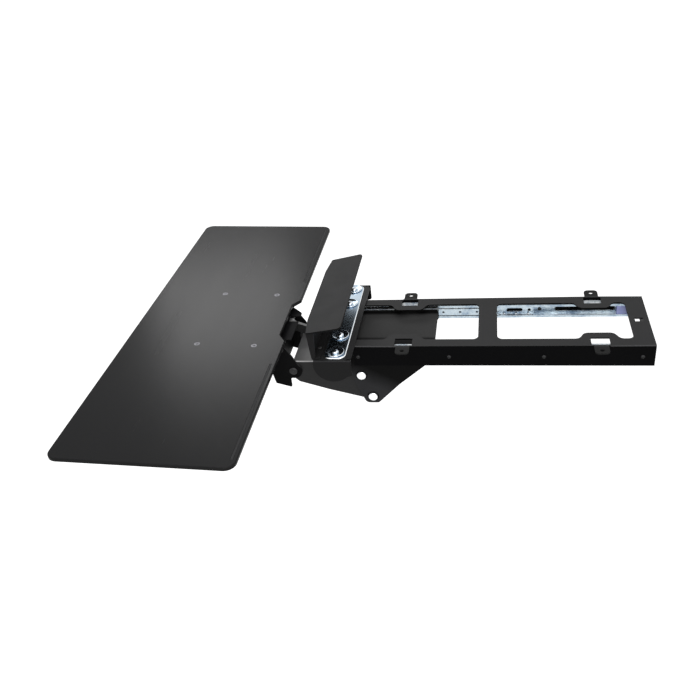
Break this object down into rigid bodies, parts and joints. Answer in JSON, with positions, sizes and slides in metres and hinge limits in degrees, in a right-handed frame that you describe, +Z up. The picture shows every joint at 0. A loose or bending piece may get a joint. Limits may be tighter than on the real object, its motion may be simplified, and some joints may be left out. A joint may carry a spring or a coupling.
{
  "type": "keyboard tray",
  "caption": "Keyboard tray on a sliding, lifting and tilting arm that hangs from a track under a desk.",
  "frame": {"origin": "middle of the four desk screws, on the face that meets the underside of the desk", "axes": "+Z up into the desk, +Y under the desk away from the user, +X to the user's right"},
  "size_m": [0.686, 0.768, 0.1716],
  "materials": {
    "powder_coat": "satin black powder coat",
    "zinc_plate": "bright zinc",
    "bright_steel": "plain steel",
    "black_washer": "black oxide",
    "board": "fine matt black laminate",
    "moulded_cover": "satin moulded plastic",
    "end_stop": "violet plastic",
    "nylon": "natural nylon",
    "rubber": "matt rubber"
  },
  "bodies": {
    "track": {"track_frame": "powder_coat", "outer_slide_rails": "zinc_plate", "slide_rivets": "powder_coat", "slide_end_stops": "end_stop"},
    "cages": {"ball_cages": "bright_steel", "cage_balls": "bright_steel"},
    "carriage": {"carriage_bracket": "powder_coat", "inner_slide_rails": "zinc_plate", "inner_rail_rivets": "powder_coat", "arm_pivot_axle": "zinc_plate", "link_pivot_axle": "zinc_plate", "pivot_washers": "black_washer"},
    "arm": {"arm_channel": "powder_coat", "arm_bushes": "nylon", "housing_riser": "powder_coat", "riser_rivets": "powder_coat", "riser_screws": "zinc_plate", "housing_base": "powder_coat", "lock_plate": "zinc_plate", "clamp_washers": "zinc_plate", "clamp_bolts": "zinc_plate", "front_shell": "powder_coat", "shell_rivets": "powder_coat", "cover_plate": "moulded_cover", "cover_screws": "black_washer"},
    "link": {"levelling_link": "powder_coat"},
    "head": {"head_yoke": "powder_coat", "front_arm_axle": "zinc_plate", "levelling_axle": "zinc_plate", "tilt_bolt": "zinc_plate", "tilt_nut": "zinc_plate"},
    "tray": {"tilt_bracket": "powder_coat", "tilt_spacer": "zinc_plate", "tray_board": "board", "tray_screws": "zinc_plate", "tray_nuts": "zinc_plate", "rear_strips": "rubber"}
  },
  "joints": [
    {"name": "carriage_slide", "type": "slide", "parent": "track", "child": "carriage", "axis": [0, 1, 0], "range_m": [0, 0.09]},
    {"name": "cage_slide", "type": "slide", "parent": "track", "child": "cages", "axis": [0, 1, 0], "range_m": [0, 0.045]},
    {"name": "arm_lift", "type": "hinge", "parent": "carriage", "child": "arm", "pos_m": [0, -0.1904, -0.1], "axis": [-1, 0, 0], "range_deg": [-45, 0]},
    {"name": "link_swing", "type": "hinge", "parent": "carriage", "child": "link", "pos_m": [0, -0.205, -0.061], "axis": [-1, 0, 0], "range_deg": [-45, 0]},
    {"name": "head_level", "type": "hinge", "parent": "arm", "child": "head", "pos_m": [0, -0.31, -0.054], "axis": [-1, 0, 0], "range_deg": [0, 45]},
    {"name": "tray_tilt", "type": "hinge", "parent": "head", "child": "tray", "pos_m": [0, -0.342, -0.014], "axis": [-1, 0, 0], "range_deg": [-15, 10]}
  ],
  "couplings": [
    {"joint": "cage_slide", "follows": "carriage_slide", "ratio": 0.5},
    {"joint": "link_swing", "follows": "arm_lift", "ratio": 1},
    {"joint": "head_level", "follows": "arm_lift", "ratio": -1}
  ]
}
